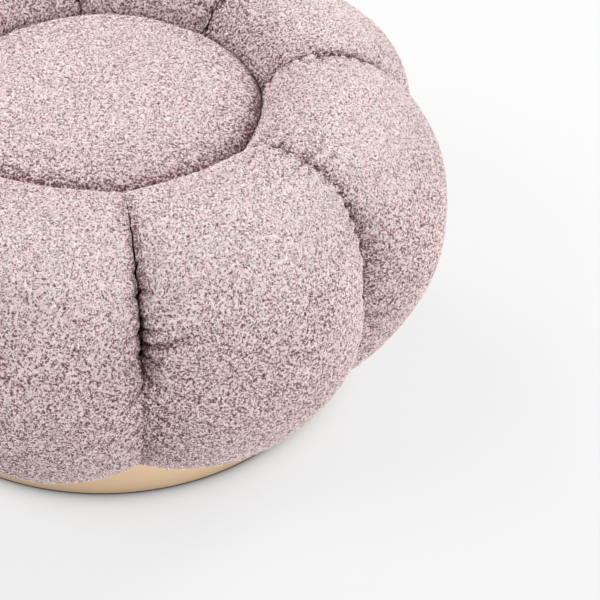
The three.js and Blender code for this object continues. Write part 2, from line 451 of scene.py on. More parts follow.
def petal_section(form, across, around):
    """Radius and height of a petal's skin. "across" runs from -1 at one seam to 1 at the next, and "around"
    is the angle in the section, from outwards through the crest and the inner wall to the underside."""
    outward, upward = np.cos(around), np.sin(around)
    crest = np.where(outward > 0, CREST_OUT, CREST_IN)
    under = np.where(outward > 0, UNDER_OUT, UNDER_IN)
    squareness = np.where(upward > 0, crest, under)
    reach = np.where(outward > 0, form.outer_radius - form.spine_radius, form.inner_bulge)
    rise = np.where(
        upward > 0, form.crest_height - form.spine_height, form.spine_height - form.underside_height
    )
    soft = smooth_step(around, SOFT_FROM, SOFT_TO)
    fullness = (1 - np.abs(across) ** form.plumpness).clip(0) ** (
        (1 - soft) * form.slack_crest + soft * form.slack_under
    )
    seam_share = (
        SEAM_OUT * outward.clip(0) ** 2
        + SEAM_CREST * (upward.clip(0) ** 2 + (-outward).clip(0) ** 2)
        + SEAM_UNDER * (-upward).clip(0) ** 2
    )
    seam_share = seam_share + (1 - seam_share) * form.shallow_under * soft
    share = seam_share + (1 - seam_share) * fullness
    radius = form.spine_radius + reach * signed_power(outward, 2 / squareness) * share
    height = form.spine_height + rise * signed_power(upward, 2 / squareness) * share
    return radius, height + form.seam_lift * (1 - fullness)


def petal_place(form, petal, across, radius, height):
    """Points at a radius and a height on a petal, with the clearance at its seams."""
    start, end = seam_angle(petal - 1), seam_angle(petal)
    half_gap = form.gap / 2 / radius
    angle = (start + end) / 2 + across * ((end - start) / 2 - half_gap)
    return np.stack([radius * np.sin(angle), -radius * np.cos(angle), height + 0 * angle], -1)


def petal_skin(form, petal, across, around):
    """Points of a petal's skin, before it is seated on the plinth."""
    radius, height = petal_section(form, across, around)
    return petal_place(form, petal, across, radius, height)


def even_steps(path, values, count):
    """Values along a fine path of points, picked so that the steps between them are equally long."""
    lengths = np.linalg.norm(np.diff(path, axis=0), axis=1)
    along = np.concatenate([[0], np.cumsum(lengths)])
    return np.interp(np.linspace(0, along[-1], count), along, values)


def petal_steps(form, petal, columns, shown_rows):
    """The steps across a petal, and the steps round its shown skin, each evenly spaced on the cloth."""
    swing = np.sin(np.linspace(-math.pi / 2, math.pi / 2, ACROSS_SAMPLES))
    widest = np.full(len(swing), WIDEST_ANGLE)
    across = even_steps(petal_skin(form, petal, swing, widest), swing, columns)
    turn = np.linspace(EDGE_ANGLE, RIM_ANGLE, AROUND_SAMPLES)
    middle = np.zeros(len(turn))
    shown = even_steps(petal_skin(form, petal, middle, turn), turn, shown_rows)
    return across, shown


def petal_grid(form, petal, across, shown):
    """A petal's closed skin as columns by rows: the shown stretch, its inner wall down to the plinth, its
    flat foot out to the plinth's edge, and one row up the side of that edge."""
    wall = np.linspace(RIM_ANGLE, FOOT_ANGLE, WALL_ROWS + 1)[1:]
    place, turn = np.meshgrid(across, np.concatenate([shown, wall]), indexing="ij")
    radius, height = petal_section(form, place, turn)
    room_radius, room_top = form.plinth_radius + form.gap, form.plinth_height + form.gap
    wall_part = np.arange(turn.shape[1]) >= len(shown)
    height = np.where(wall_part, np.maximum(height, room_top), height)
    low = (height < room_top) & (radius < room_radius)
    radius = np.where(low, room_radius, radius)
    skin = petal_place(form, petal, place, radius, height)
    share = np.linspace(0, 1, FOOT_ROWS + 1)[1:]
    foot_radius = radius[:, -1:] + (room_radius - radius[:, -1:]) * share
    foot = petal_place(form, petal, place[:, :1], foot_radius, np.full_like(foot_radius, room_top))
    middle_height = (room_top + height[:, :1]) / 2
    side = petal_place(form, petal, place[:, :1], np.full_like(middle_height, room_radius), middle_height)
    return np.concatenate([skin, foot, side], 1)


def grid_normals(points):
    """Outward normals of a grid that is open across its columns and closed round its rows."""
    along = np.gradient(points, axis=0)
    round_it = (np.roll(points, -1, 1) - np.roll(points, 1, 1)) / 2
    normals = np.cross(along, round_it)
    return normals / np.linalg.norm(normals, axis=-1, keepdims=True).clip(1e-12)


def closed_grid(points):
    """Points and faces of a petal's grid, with its two seam ends closed by fans."""
    columns, rows = points.shape[:2]
    here = np.arange((columns - 1) * rows).reshape(columns - 1, rows)
    beside = np.roll(here, -1, 1)
    quads = np.stack([here, here + rows, beside + rows, beside], -1).reshape(-1, 4)
    first, last = columns * rows, columns * rows + 1
    row = np.arange(rows)
    after = np.roll(row, -1)
    base = (columns - 1) * rows
    start = np.stack([np.full(rows, first), row, after], -1)
    end = np.stack([np.full(rows, last), base + after, base + row], -1)
    middles = [points[0].mean(0), points[-1].mean(0)]
    return np.vstack([points.reshape(-1, 3), middles]), quads.tolist() + start.tolist() + end.tolist()


def mesh_object(name, points, faces, material):
    """A smooth-shaded mesh object at the origin."""
    mesh = bpy.data.meshes.new(name)
    mesh.from_pydata(np.asarray(points).tolist(), [], faces)
    mesh.validate()
    mesh.polygons.foreach_set("use_smooth", [True] * len(mesh.polygons))
    mesh.materials.append(material)
    obj = bpy.data.objects.new(name, mesh)
    bpy.context.scene.collection.objects.link(obj)
    return obj


def add_values(obj, name, values):
    """Stores one number for each point of an object's mesh."""
    attribute = obj.data.attributes.new(name, "FLOAT", "POINT")
    attribute.data.foreach_set("value", np.asarray(values, dtype=np.float32).ravel())


def add_node(tree, kind, inputs=None, **settings):
    """A node with its settings and its inputs, each a value or another node's output."""
    node = tree.nodes.new(kind)
    for name, value in settings.items():
        setattr(node, name, value)
    for name, value in (inputs or {}).items():
        if isinstance(value, bpy.types.NodeSocket):
            tree.links.new(value, node.inputs[name])
        else:
            node.inputs[name].default_value = value
    return node


def calculate(tree, operation, *values, clamp=False):
    """The output of a Math node."""
    node = add_node(tree, "ShaderNodeMath", dict(enumerate(values)), operation=operation)
    node.use_clamp = clamp
    return node.outputs[0]


def total(tree, first, *others):
    """The sum of two or more values."""
    for value in others:
        first = calculate(tree, "ADD", first, value)
    return first


def shifted(tree, place, shift):
    """A place moved far enough that a pattern on it has nothing in common with the pattern on the other."""
    way = tuple(shift * part for part in SHIFT_DIRECTION)
    moved = add_node(tree, "ShaderNodeVectorMath", {0: place, 1: way})
    return moved.outputs[0]


def noise(tree, place, scale, detail=0.0):
    """Soft noise from 0 to 1."""
    node = add_node(tree, "ShaderNodeTexNoise", {"Vector": place, "Scale": scale, "Detail": detail})
    return node.outputs[0]


def winding_lines(tree, place, spacing, sharpness):
    """Lines that wind about: 1 along the middle of each line, falling to 0 beside it."""
    cells = noise(tree, place, calculate(tree, "DIVIDE", STRANDS_PER_CELL, spacing))
    off_line = calculate(tree, "ABSOLUTE", calculate(tree, "SUBTRACT", cells, 0.5))
    return calculate(tree, "SUBTRACT", 1.0, calculate(tree, "MULTIPLY", off_line, sharpness), clamp=True)


def boucle_height(tree, place, spacing, layers):
    """The bouclé's height, from 0 in the pits to about 1, as layers of yarn over each other."""
    heights = []
    for size, share, shift in layers:
        layer_spacing = calculate(tree, "MULTIPLY", spacing, size)
        turns = winding_lines(tree, shifted(tree, place, shift), layer_spacing, STRAND_SHARPNESS)
        heights.append(calculate(tree, "MULTIPLY", turns, share))
    return total(tree, *heights)


def clump_rise(tree, place, spacing):
    """Thick and thin places of the pile, from 0 to 1."""
    scale = calculate(tree, "DIVIDE", 1.0, spacing)
    return noise(tree, shifted(tree, place, CLUMP_SHIFT), scale, detail=1.0)


def swing_about(tree, value, height):
    """A rise that swings about nothing: half the height up where the value is 1, and half down at 0."""
    return calculate(tree, "MULTIPLY", calculate(tree, "SUBTRACT", value, 0.5), height)


def new_tree(name, inputs):
    """A Geometry Nodes tree that takes a shape and these inputs, each by its kind, and what it is given."""
    tree = bpy.data.node_groups.new(name, "GeometryNodeTree")
    for label, kind in {"Geometry": "Geometry", **inputs}.items():
        tree.interface.new_socket(label, in_out="INPUT", socket_type="NodeSocket" + kind)
    tree.interface.new_socket("Geometry", in_out="OUTPUT", socket_type="NodeSocketGeometry")
    return tree, tree.nodes.new("NodeGroupInput").outputs


def end_tree(tree, shape, material):
    """Ends a tree with its shape, in its material."""
    dressed = add_node(tree, "GeometryNodeSetMaterial", {"Geometry": shape, "Material": material})
    add_node(tree, "NodeGroupOutput", {0: dressed.outputs[0]})


def pile_tree():
    """Geometry Nodes that raise the bouclé on a skin. They keep the place of the skin's ground. Each point
    rises no further than the room it has before it would touch a neighbour, and pits are shallower there."""
    sizes = ("Curl size", "Curl height", "Clump size", "Clump height", "Swell size", "Swell height")
    tree, given = new_tree("boucle_pile", {**dict.fromkeys(sizes, "Float"), "Material": "Material"})
    place = tree.nodes.new("GeometryNodeInputPosition").outputs[0]
    normal = tree.nodes.new("GeometryNodeInputNormal").outputs[0]
    ground = add_node(tree, "GeometryNodeStoreNamedAttribute", {
        "Geometry": given["Geometry"], "Name": "ground", "Value": place,
    }, data_type="FLOAT_VECTOR")
    turns = boucle_height(tree, place, given["Curl size"], YARN_LAYERS[:MESH_LAYERS])
    curls = swing_about(tree, turns, given["Curl height"])
    clumps = swing_about(tree, clump_rise(tree, place, given["Clump size"]), given["Clump height"])
    swell_scale = calculate(tree, "DIVIDE", 1.0, given["Swell size"])
    swell = noise(tree, shifted(tree, place, SWELL_SHIFT), swell_scale)
    swells = swing_about(tree, swell, given["Swell height"])
    rise = total(tree, curls, clumps, swells)
    room = add_node(tree, "GeometryNodeInputNamedAttribute", {"Name": "room"}, data_type="FLOAT")
    room = room.outputs["Attribute"]
    nearness = calculate(tree, "DIVIDE", room, FULL_RELIEF_ROOM, clamp=True)
    shallow = calculate(tree, "MAXIMUM", rise, calculate(tree, "MULTIPLY", rise, nearness))
    held = calculate(tree, "MINIMUM", shallow, room)
    offset = add_node(tree, "ShaderNodeVectorMath", {0: normal, "Scale": held}, operation="SCALE")
    raised = add_node(tree, "GeometryNodeSetPosition", {
        "Geometry": ground.outputs[0], "Offset": offset.outputs[0],
    })
    real = add_node(tree, "GeometryNodeRealizeInstances", {"Geometry": raised.outputs[0]})
    end_tree(tree, real.outputs[0], given["Material"])
    return tree


def apply_tree(obj, tree, values):
    """Runs a Geometry Nodes tree on an object and leaves the result as its plain mesh."""
    modifier = obj.modifiers.new("tree", "NODES")
    modifier.node_group = tree
    for item in tree.interface.items_tree:
        if item.in_out == "INPUT" and item.name in values:
            modifier[item.identifier] = values[item.name]
    graph = bpy.context.evaluated_depsgraph_get()
    mesh = bpy.data.meshes.new_from_object(obj.evaluated_get(graph), depsgraph=graph)
    obj.modifiers.remove(modifier)
    spent = obj.data
    name = spent.name
    obj.data = mesh
    bpy.data.meshes.remove(spent)
    mesh.name = name


def raise_pile(piece, tree, cloth, material):
    """Raises the bouclé on a stuffed piece."""
    apply_tree(piece, tree, {
        "Curl size": cloth.curl_size,
        "Curl height": cloth.curl_height,
        "Clump size": cloth.clump_size,
        "Clump height": cloth.clump_height,
        "Swell size": cloth.swell_size,
        "Swell height": cloth.swell_height,
        "Material": material,
    })


def named_material(name, finish):
    """A new material with the finish on its shader, and its tree and its shader."""
    material = bpy.data.materials.new(name)
    material.use_nodes = True
    shader = material.node_tree.nodes["Principled BSDF"]
    for socket, value in finish.items():
        shader.inputs[socket].default_value = value
    return material, material.node_tree, shader


def add_bump(tree, shader, height, strength, distance):
    """Gives a shader a bump that follows a height."""
    bump = add_node(tree, "ShaderNodeBump", {"Height": height, "Strength": strength, "Distance": distance})
    tree.links.new(bump.outputs[0], shader.inputs["Normal"])


def stored(tree, name, output):
    """An attribute of the mesh, in a material."""
    return add_node(tree, "ShaderNodeAttribute", attribute_name=name).outputs[output]


def mean(tree, first, second):
    """Halfway between two values."""
    halves = [calculate(tree, "MULTIPLY", value, 0.5) for value in (first, second)]
    return calculate(tree, "ADD", *halves)


def less_share(tree, value, share):
    """1, less a share of the value."""
    return calculate(tree, "SUBTRACT", 1.0, calculate(tree, "MULTIPLY", value, share))


def between(tree, value, low, high):
    """The low level where the value is 0, and the high one where it is 1."""
    return calculate(tree, "ADD", calculate(tree, "MULTIPLY", value, high - low), low)


def rise_between(tree, value, low, high):
    """A smooth rise from 0 where the value is at the low level to 1 where it is at the high one."""
    node = add_node(tree, "ShaderNodeMapRange", {
        "Value": value, "From Min": low, "From Max": high,
    }, interpolation_type="SMOOTHSTEP")
    return node.outputs[0]


def mixed(tree, share, first, second):
    """A mix of two colours, each a plain colour or another node's output."""
    node = add_node(tree, "ShaderNodeMix", {"Factor": share}, data_type="RGBA")
    for socket, tone in ((node.inputs[6], first), (node.inputs[7], second)):
        if isinstance(tone, bpy.types.NodeSocket):
            tree.links.new(tone, socket)
        else:
            socket.default_value = (*tone, 1)
    return node.outputs[2]


def boucle_material(cloth):
    """Pale bouclé: turns of light yarn over darker pits, with a soft sheen, and painted light and shade in
    its colours.
    """
    material, tree, shader = named_material("boucle", BOUCLE_FINISH)
    ground = stored(tree, "ground", "Vector")
    # The "open" attribute is 0 on a lit crest and 1 on the sides: it places painted light and painted shade.
    side_shade = stored(tree, "open", "Fac")
    turns = boucle_height(tree, ground, cloth.curl_size, YARN_LAYERS)
    # Painted shade: more dark pit shows on the sides and where the skin is tucked in, and less on the lit
    # crest.
    clump_share = between(tree, side_shade, CLUMP_TONE_LIT_CREST, CLUMP_TONE_SHADED_SIDES)
    clumps = swing_about(tree, clump_rise(tree, ground, cloth.clump_size), clump_share)
    lift = calculate(tree, "MULTIPLY", less_share(tree, side_shade, 1.0), CREST_LIGHT_LIFT)
    tuck_shade = calculate(tree, "MULTIPLY", stored(tree, "tucked", "Fac"), TUCK_SHADE)
    height = calculate(tree, "SUBTRACT", total(tree, turns, clumps, lift), tuck_shade)
    # Painted highlight: the greyer yarn and the pale tips show more on the lit crest than on the shaded
    # sides.
    crest_light = less_share(tree, side_shade, SIDE_SHADE_FADE)
    patches = rise_between(tree, noise(tree, ground, 1 / cloth.heather_size, detail=1.0), *HEATHER_LEVELS)
    heather = calculate(tree, "MULTIPLY", between(tree, patches, LEAST_HEATHER, 1), crest_light)
    yarn = mixed(tree, heather, cloth.yarn_colour, cloth.heather_colour)
    # The pit colour is the darker ground with painted shade, and the tip colour a painted highlight on the
    # highest turns.
    body_share = rise_between(tree, height, cloth.pit_level, cloth.yarn_level)
    body = mixed(tree, body_share, cloth.pit_and_shade_colour, yarn)
    tip_highlights = calculate(tree, "MULTIPLY", rise_between(tree, height, cloth.yarn_level, cloth.tip_level), crest_light)
    tree.links.new(mixed(tree, tip_highlights, body, cloth.tip_and_highlight_colour), shader.inputs["Base Color"])
    add_bump(tree, shader, turns, strength=1.0, distance=BUMP_SHARE * cloth.curl_height)
    return material


def yarn_material(cloth):
    """The bare yarn of the loose loops, a little lighter and darker from loop to loop."""
    material, tree, shader = named_material("yarn", YARN_FINISH)
    place = add_node(tree, "ShaderNodeTexCoord").outputs["Object"]
    fibres = noise(tree, place, 1 / cloth.yarn_radius, detail=1.0)
    patches = noise(tree, place, 0.5 / cloth.curl_size)
    tone = mean(tree, fibres, patches)
    tree.links.new(mixed(tree, tone, cloth.yarn_colour, cloth.tip_and_highlight_colour), shader.inputs["Base Color"])
    add_bump(tree, shader, fibres, strength=0.6, distance=cloth.yarn_radius)
    return material


def gold_material(metal):
    """Pale gold sheet, finely brushed round the drum, with a painted contact shadow at its foot."""
    material, tree, shader = named_material("brushed_gold", GOLD_FINISH)
    place = add_node(tree, "ShaderNodeTexCoord").outputs["Object"]
    parts = add_node(tree, "ShaderNodeSeparateXYZ", {0: place})
    turn = calculate(tree, "ARCTAN2", parts.outputs[1], parts.outputs[0])
    height = parts.outputs[2]
    lines = add_node(tree, "ShaderNodeCombineXYZ", {
        0: calculate(tree, "MULTIPLY", turn, BRUSH_ROUND), 1: calculate(tree, "MULTIPLY", height, BRUSH_UP),
    }).outputs[0]
    brushing = noise(tree, lines, 1.0, detail=2.0)
    cloudy = noise(tree, place, CLOUD_SCALE, detail=2.0)
    tone = mean(tree, brushing, cloudy)
    dark, pale = [[share * part for part in metal.gold_colour] for share in GOLD_SHARES]
    # Painted contact shadow: the gold darkens towards the foot of the drum, where it meets the floor.
    lit = rise_between(tree, height, FOOT_CORE * metal.shade_height, metal.shade_height)
    shaded = [share * part for share, part in zip(FOOT_SHADE, metal.gold_colour)]
    sheet = mixed(tree, lit, shaded, mixed(tree, tone, dark, pale))
    tree.links.new(sheet, shader.inputs["Base Color"])
    rough = add_node(tree, "ShaderNodeMapRange", {
        "Value": tone, "To Min": metal.roughness - SMOOTHER, "To Max": metal.roughness + ROUGHER,
    })
    tree.links.new(rough.outputs[0], shader.inputs["Roughness"])
    add_bump(tree, shader, brushing, strength=0.5, distance=metal.brush_depth)
    return material


def floor_material(studio, drum_radius):
    """A seamless pale floor that glows evenly, with a painted soft shadow close round the drum's foot."""
    material, tree, shader = named_material("seamless_floor", FLOOR_FINISH)
    place = add_node(tree, "ShaderNodeTexCoord").outputs["Object"]
    from_middle = add_node(tree, "ShaderNodeVectorMath", {0: place}, operation="LENGTH").outputs["Value"]
    from_drum = calculate(tree, "SUBTRACT", from_middle, drum_radius)
    # Painted soft shadow: the glow falls off towards the drum's foot.
    fall = calculate(tree, "EXPONENT", calculate(tree, "DIVIDE", from_drum, -studio.shade_reach))
    lost = calculate(tree, "MULTIPLY", fall, studio.shade_depth)
    glow = calculate(tree, "SUBTRACT", 1.0, lost, clamp=True)
    strength = calculate(tree, "MULTIPLY", glow, studio.floor_glow)
    tree.links.new(strength, shader.inputs["Emission Strength"])
    shader.inputs["Base Color"].default_value = (*studio.floor_colour, 1)
    return material


def finish_cloth(piece, node):
    """Attaches a stuffed piece to the stool's body, hides its CAD part, and keeps it where the loose loops
    find it.
    """
    stuffed_pieces().objects.link(piece)
    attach(piece, BODY)
    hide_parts(node)


def stuffed_pieces():
    """The collection of the pieces that loose loops stand on."""
    return bpy.data.collections.get("stuffed_pieces") or bpy.data.collections.new("stuffed_pieces")


def loops_tree():
    """Geometry Nodes that scatter loose loops of yarn over the shown bouclé."""
    tree, given = new_tree("loose_loops", {
        "Pieces": "Collection",
        "Loops a square metre": "Float",
        "Loop radius": "Float",
        "Yarn radius": "Float",
        "Seed": "Int",
        "Material": "Material",
    })
    pieces = add_node(tree, "GeometryNodeCollectionInfo", {"Collection": given["Pieces"]})
    skins = add_node(tree, "GeometryNodeRealizeInstances", {"Geometry": pieces.outputs[0]})
    shown = add_node(tree, "GeometryNodeInputNamedAttribute", {"Name": "shown"}, data_type="FLOAT")
    density = calculate(tree, "MULTIPLY", shown.outputs["Attribute"], given["Loops a square metre"])
    points = add_node(tree, "GeometryNodeDistributePointsOnFaces", {
        "Mesh": skins.outputs[0], "Density": density, "Seed": given["Seed"],
    })
    tilt = add_node(tree, "FunctionNodeRandomValue", {
        "Min": (-LOOP_LEAN, -LOOP_LEAN, -math.pi), "Max": (LOOP_LEAN, LOOP_LEAN, math.pi),
        "Seed": given["Seed"],
    }, data_type="FLOAT_VECTOR")
    tilted = add_node(tree, "FunctionNodeEulerToRotation", {0: tilt.outputs[0]})
    turned = add_node(tree, "FunctionNodeRotateRotation", {
        "Rotation": points.outputs["Rotation"], "Rotate By": tilted.outputs[0],
    }, rotation_space="LOCAL")
    smallest, largest = LOOP_SIZES
    size = add_node(tree, "FunctionNodeRandomValue", {
        2: smallest, 3: largest, "Seed": given["Seed"],
    }, data_type="FLOAT")
    arc = add_node(tree, "GeometryNodeCurveArc", {
        "Resolution": LOOP_POINTS, "Radius": given["Loop radius"], "Sweep Angle": LOOP_SWEEP,
    })
    ring = add_node(tree, "GeometryNodeCurvePrimitiveCircle", {
        "Resolution": YARN_SIDES, "Radius": given["Yarn radius"],
    })
    loop = add_node(tree, "GeometryNodeCurveToMesh", {
        "Curve": arc.outputs[0], "Profile Curve": ring.outputs[0], "Fill Caps": True,
    })
    placed = add_node(tree, "GeometryNodeInstanceOnPoints", {
        "Points": points.outputs[0], "Instance": loop.outputs[0], "Rotation": turned.outputs[0],
        "Scale": size.outputs[1],
    })
    real = add_node(tree, "GeometryNodeRealizeInstances", {"Geometry": placed.outputs[0]})
    smooth = add_node(tree, "GeometryNodeSetShadeSmooth", {"Geometry": real.outputs[0]})
    end_tree(tree, smooth.outputs[0], given["Material"])
    return tree


def seam_distances(petal, points):
    """Each point's distance from the middle plane of the petal's first seam and of its last."""
    radius = np.hypot(points[..., 0], points[..., 1])
    angle = np.arctan2(points[..., 0], -points[..., 1])
    start, end = seam_angle(petal - 1), seam_angle(petal)
    off_middle = (angle - (start + end) / 2 + math.pi) % (2 * math.pi) - math.pi
    half = (end - start) / 2
    return [radius * np.sin((half + side * off_middle).clip(0, math.pi / 2)) for side in (1, -1)]


def along_rows(points):
    """For each point of a petal's grid, its distance along the cloth from the plinth's edge."""
    steps = np.linalg.norm(np.diff(points, axis=1), axis=-1)
    return np.hstack([np.zeros((len(points), 1)), np.cumsum(steps, 1)])


def crease(line, away, start, length, drop, width, slant):
    """Depth of one soft crease that runs from a seam into the petal. "line" is the place along the seam and
    "away" the distance from it."""
    off = line - start - slant * away
    return drop * np.exp(-((away / length) ** 2)) * np.exp(-((off / width) ** 2))


def random_creases(cloth, reach, random):
    """Creases for a seam that isn't looked at closely: few and short at its tight part, and longer ones
    that fan out and down where it is slack."""
    place = random.uniform(*FIRST_CREASE) * cloth.pucker_spacing
    while place < reach:
        slack = smooth_step(np.array(place / reach), *SLACK_SEAM)
        length = cloth.pucker_length * random.uniform(*CREASE_LENGTH) * (1 + SLACK_LENGTH * slack)
        drop = cloth.pucker_depth * random.uniform(*CREASE_DEPTH)
        width = cloth.pucker_spacing * random.uniform(*CREASE_WIDTH)
        slant = random.uniform(*CREASE_SLANT) + SLACK_SLANT * slack
        yield place, length, drop, width, slant
        place += cloth.pucker_spacing * random.uniform(*CREASE_SPACING)


def front_creases(petal, shown, line):
    """The creases that are listed one by one, on one petal's side of the front seam."""
    for turn, length, drop, width, slant in FRONT_CREASES[petal]:
        start = np.interp(math.radians(turn), shown, line[: len(shown)])
        yield start, length * MM, drop * MM, width * MM, slant


def seam_puckers(cloth, petal, points, shown):
    """How deep the gathers draw the skin in: soft creases that run from each seam into the petal, and an
    uneven drawing back of the walls that lets two petals part along the upper stretch of their seam."""
    random = np.random.default_rng(cloth.seed * SEEDS_APART + petal)
    along = along_rows(points)
    depth = np.zeros(points.shape[:2])
    reach = along[:, len(shown) - 1]
    middle_reach = reach[points.shape[0] // 2]
    for side, away in enumerate(seam_distances(petal, points)):
        column = (0, -1)[side]
        line = along[column] * middle_reach / reach[column]
        in_front = (petal, side) in FRONT_SEAM
        creases = random_creases(cloth, middle_reach, random)
        if in_front:
            creases = front_creases(petal, shown, line)
        for start, length, drop, width, slant in creases:
            depth += crease(line[None, :], away, start, length, drop, width, slant)
        knots = np.arange(0, middle_reach + RAGGED_SPARE, RAGGED_STEP)
        ragged = np.interp(line, knots, random.uniform(RAGGED_LEAST, 1.0, len(knots)))
        place = line / middle_reach
        eased = smooth_step(place, *EASE_STARTS) * smooth_step(place, *EASE_STOPS)
        drawn_back = cloth.seam_ease * (1.0 if in_front else FAR_EASE)
        depth += drawn_back * ragged * eased * np.exp(-((away / EASE_REACH) ** 2))
    return depth


def simulate_cover(form, cloth, petal):
    """Blender's cloth simulation of one petal's cover: held at its seams, its hidden walls and its foot, and
    blown up by the stuffing. Gives the steps and how far each point moved."""
    across, shown = petal_steps(form, petal, COVER_COLUMNS, COVER_ROWS)
    points = petal_grid(form, petal, across, shown)
    columns, rows = points.shape[:2]
    flat, faces = closed_grid(points)
    cover = mesh_object("cover", flat, faces, None)
    held = np.zeros((columns, rows))
    held[[0, -1], :] = 1
    held[:, len(shown):] = 1
    pins = cover.vertex_groups.new(name="held")
    pins.add(list(range(len(flat))), 0.0, "REPLACE")
    pins.add(np.flatnonzero(held).tolist() + [len(flat) - 2, len(flat) - 1], 1.0, "REPLACE")
    modifier = cover.modifiers.new("cover", "CLOTH")
    for name, value in COVER_SETTINGS.items():
        setattr(modifier.settings, name, value)
    modifier.settings.uniform_pressure_force = cloth.pressure
    modifier.settings.effector_weights.gravity = 0
    modifier.collision_settings.use_collision = False
    modifier.point_cache.frame_start = 1
    modifier.point_cache.frame_end = SETTLE_FRAMES
    scene = bpy.context.scene
    for step in range(1, SETTLE_FRAMES + 1):
        scene.frame_set(step)
    graph = bpy.context.evaluated_depsgraph_get()
    settled = cover.evaluated_get(graph).to_mesh()
    moved = np.empty(len(flat) * 3)
    settled.vertices.foreach_get("co", moved)
    moved = moved.reshape(-1, 3)[: columns * rows].reshape(columns, rows, 3) - points
    bpy.data.objects.remove(cover)
    scene.frame_set(1)
    return across, shown, moved


def spread_moves(simulated, across, shown, rows):
    """Carries the simulated moves from the coarse grid to a finer one, capped, for its shown rows."""
    coarse_across, coarse_shown, moved = simulated
    lengths = np.linalg.norm(moved, axis=-1, keepdims=True)
    moved = moved * np.minimum(1, MOVE_CAP / lengths.clip(1e-9))
    column = np.interp(across, coarse_across, np.arange(len(coarse_across)))
    row = np.interp(shown, coarse_shown, np.arange(len(coarse_shown)))
    left, low = np.floor(column).astype(int), np.floor(row).astype(int)
    left, low = left.clip(0, len(coarse_across) - 2), low.clip(0, len(coarse_shown) - 2)
    aside = smooth_step((column - left)[:, None, None], 0, 1)
    up = smooth_step((row - low)[None, :, None], 0, 1)
    here = moved[np.ix_(left, low)] * (1 - up) + moved[np.ix_(left, low + 1)] * up
    beside = moved[np.ix_(left + 1, low)] * (1 - up) + moved[np.ix_(left + 1, low + 1)] * up
    full = np.zeros((len(across), rows, 3))
    full[:, : len(shown)] = here * (1 - aside) + beside * aside
    return full


def tuck_shade_share(petal, points, depth, shown):
    """How much painted shade each point of a petal takes, from 0 to 1: where it is tucked in at a deep seam,
    behind the seat pad's rim, and in a deep crease."""
    rows = points.shape[1]
    nearest = np.minimum(*seam_distances(petal, points))
    at_seam = np.exp(-((nearest / TUCK_REACH) ** 2))
    deep = smooth_step(shown, *FULL_SEAM_SHADE[0]) * smooth_step(shown, *FULL_SEAM_SHADE[1])
    at_seam[:, : len(shown)] *= SHALLOW_TUCK + (1 - SHALLOW_TUCK) * deep
    inner_wall = smooth_step(np.arange(rows) / len(shown), *INNER_WALL_SHADE)
    return np.maximum(np.maximum(at_seam, inner_wall), depth / FULL_TUCK_DEPTH)


def make_petal(form, cloth, petal, simulated, boucle, pile):
    """One stuffed petal, closed, with its gathers and its bouclé raised."""
    columns, shown_rows = SKIN_STEPS[petal]
    across, shown = petal_steps(form, petal, columns, shown_rows)
    points = petal_grid(form, petal, across, shown)
    rows = points.shape[1]
    normals = grid_normals(points)
    if simulated is not None:
        points = points + spread_moves(simulated, across, shown, rows)
    fade = np.zeros(rows)
    ramp = (0, FADE_ROWS, shown_rows - FADE_ROWS, shown_rows - 1)
    fade[:shown_rows] = np.interp(np.arange(shown_rows), ramp, (0, 1, 1, 0))
    depth = seam_puckers(cloth, petal, points, shown) * fade
    points = points - normals * depth[..., None]
    room = petal_room(petal, points, grid_normals(points), shown_rows)
    flat, faces = closed_grid(points)
    name = f"petal_{petal + 1}"
    piece = mesh_object("boucle_" + name, flat, faces, boucle)
    # The painted light of the crest, falling off into painted shade on the sides.
    side_shade = np.ones((columns, rows))
    side_shade[:, :shown_rows] -= np.exp(-(((shown - LIT_CREST_MIDDLE) / LIT_CREST_REACH) ** 2))
    attributes = {
        "room": (room, 0),
        "shown": (fade * (room > LOOP_ROOM), 0),
        "open": (side_shade, 1),
        # The painted shade at deep seams, behind the seat pad's rim and in creases.
        "tucked": (tuck_shade_share(petal, points, depth, shown), 1),
    }
    for attribute, (values, at_ends) in attributes.items():
        add_values(piece, attribute, np.append(values.ravel(), [at_ends, at_ends]))
    raise_pile(piece, pile, cloth, boucle)
    finish_cloth(piece, name)


def petal_room(petal, points, normals, shown_rows):
    """How far each point of a petal may rise along its normal: until it meets its seam's middle plane, and
    nowhere on the hidden walls that stand against the seat pad and the plinth."""
    rooms = []
    for seam, distance in zip((petal - 1, petal), seam_distances(petal, points)):
        sideways = (math.cos(seam_angle(seam)), math.sin(seam_angle(seam)), 0)
        rooms.append(distance / np.abs(normals @ sideways).clip(LEAST_FACING))
    room = np.minimum(*rooms)
    room[:, shown_rows:] = 0
    return room


class FOOTSTOOL_OT_petals(bpy.types.Operator):
    """Makes the stuffed petals, one object each"""

    bl_idname = "footstool.petals"
    bl_label = "Petals"

    def execute(self, context):
        form = context.scene.footstool_form
        cloth = context.scene.footstool_cloth
        boucle = boucle_material(cloth)
        pile = pile_tree()
        simulated = [None] * PETAL_COUNT
        simulated = [simulate_cover(form, cloth, petal) for petal in range(PETAL_COUNT)]
        for petal in range(PETAL_COUNT):
            make_petal(form, cloth, petal, simulated[petal], boucle, pile)
        return {"FINISHED"}


def wall_radius(form, angle, height):
    """Radius of the petals' inner walls at an angle round the stool and a height above the floor."""
    seams = np.array([seam_angle(petal) for petal in range(-1, PETAL_COUNT)])
    turn = (angle - seams[0]) % (2 * math.pi) + seams[0]
    petal = (np.searchsorted(seams, turn, side="right") - 1).clip(0, PETAL_COUNT - 1)
    across = 2 * (turn - seams[petal]) / (seams[petal + 1] - seams[petal]) - 1
    low, high = np.full_like(turn, math.pi / 2), np.full_like(turn, 1.5 * math.pi)
    for _ in range(HALVINGS):
        around = (low + high) / 2
        radius, level = petal_section(form, across, around)
        above = level > height
        low, high = np.where(above, around, low), np.where(above, high, around)
    return np.where(height < form.crest_height, radius, form.spine_radius)


